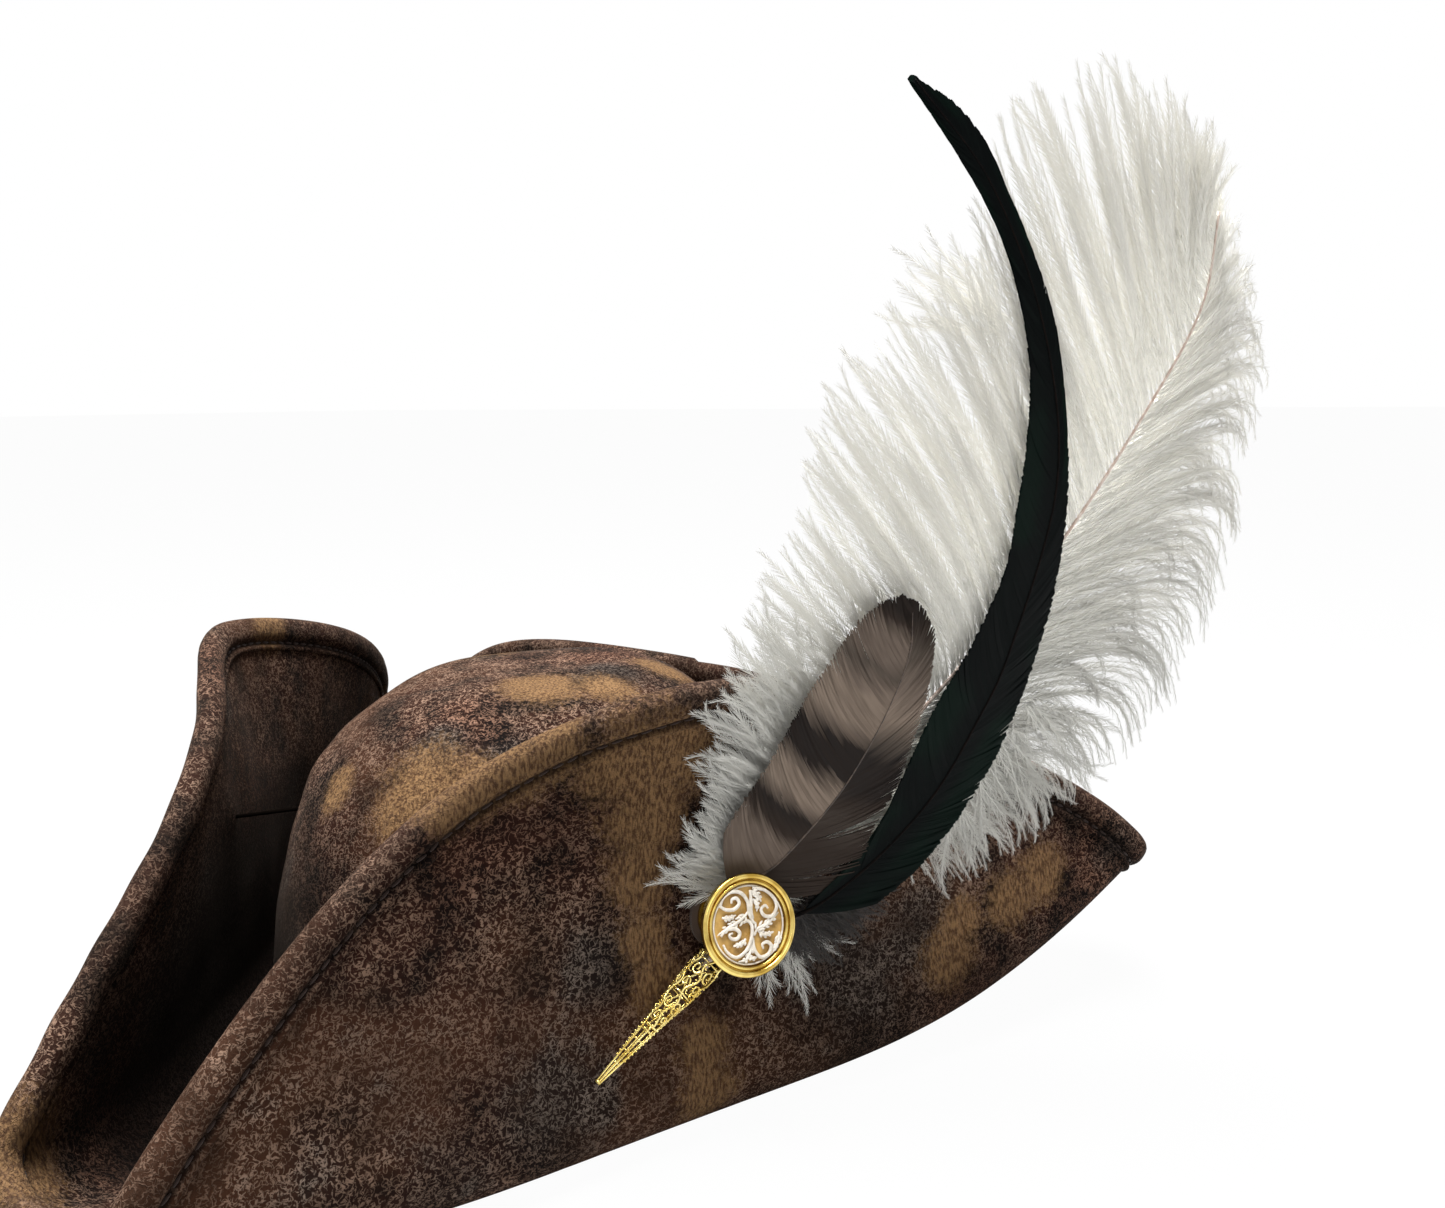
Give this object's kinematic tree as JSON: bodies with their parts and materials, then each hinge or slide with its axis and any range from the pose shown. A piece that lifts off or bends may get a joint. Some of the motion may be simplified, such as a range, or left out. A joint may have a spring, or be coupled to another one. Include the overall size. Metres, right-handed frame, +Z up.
{
  "type": "pirate hat",
  "caption": "Three-cornered cloth hat with a domed crown, upturned flaps and a feather brooch on its left front flap, worn as a costume.",
  "frame": {"origin": "centre of the head opening, on the surface the hat stands on", "axes": "+Z up through the crown, -Y towards the front corner, +X towards the wearer's left"},
  "size_m": [0.4169, 0.3264, 0.2868],
  "materials": {
    "suede": "distressed faux suede",
    "lining": "plain black lining cloth",
    "band": "woven sweatband",
    "hem": "distressed faux suede, worn pale along the edge",
    "wire": "bare spring wire",
    "thread": "dark sewing thread",
    "felt": "pressed felt",
    "gold": "polished, gold plated",
    "binding": "wrapped thread",
    "quill": "natural quill, stands for keratin",
    "plume": "white ostrich barbs",
    "coque": "black with a green sheen",
    "barred": "taupe with dark bars",
    "amber": "gold foil under amber lacquer",
    "pearl": "pearl lacquer"
  },
  "bodies": {
    "hat": {"crown_shell": "suede", "crown_lining": "lining", "sweatband": "band", "brim_under": "suede", "brim_upper": "suede", "brim_hem": "hem", "brim_wire": "wire", "hem_thread": "thread", "flap_tacks": "thread"},
    "brooch": {"pin_pad": "felt", "pin_base": "gold", "quill_binding": "binding", "plume_shaft": "quill", "plume_vane": "plume", "coque_shaft": "coque", "coque_vane": "coque", "barred_shaft": "quill", "barred_vane": "barred", "filigree_cone": "gold", "button_shank": "gold", "button_cup": "gold", "button_backing": "amber", "button_openwork": "pearl", "button_rim": "gold"},
    "clutch": {"pin_clutch": "gold"}
  },
  "joints": [
    {"name": "brooch_swivel", "type": "hinge", "parent": "hat", "child": "brooch", "pos_m": [0.09358, -0.03687, 0.06783], "axis": [0.8876, -0.46, 0.0247], "range_deg": [-10, 10]},
    {"name": "clutch_slide", "type": "slide", "parent": "brooch", "child": "clutch", "axis": [-0.8876, 0.46, -0.0247], "range_m": [0, 0.0045]}
  ]
}
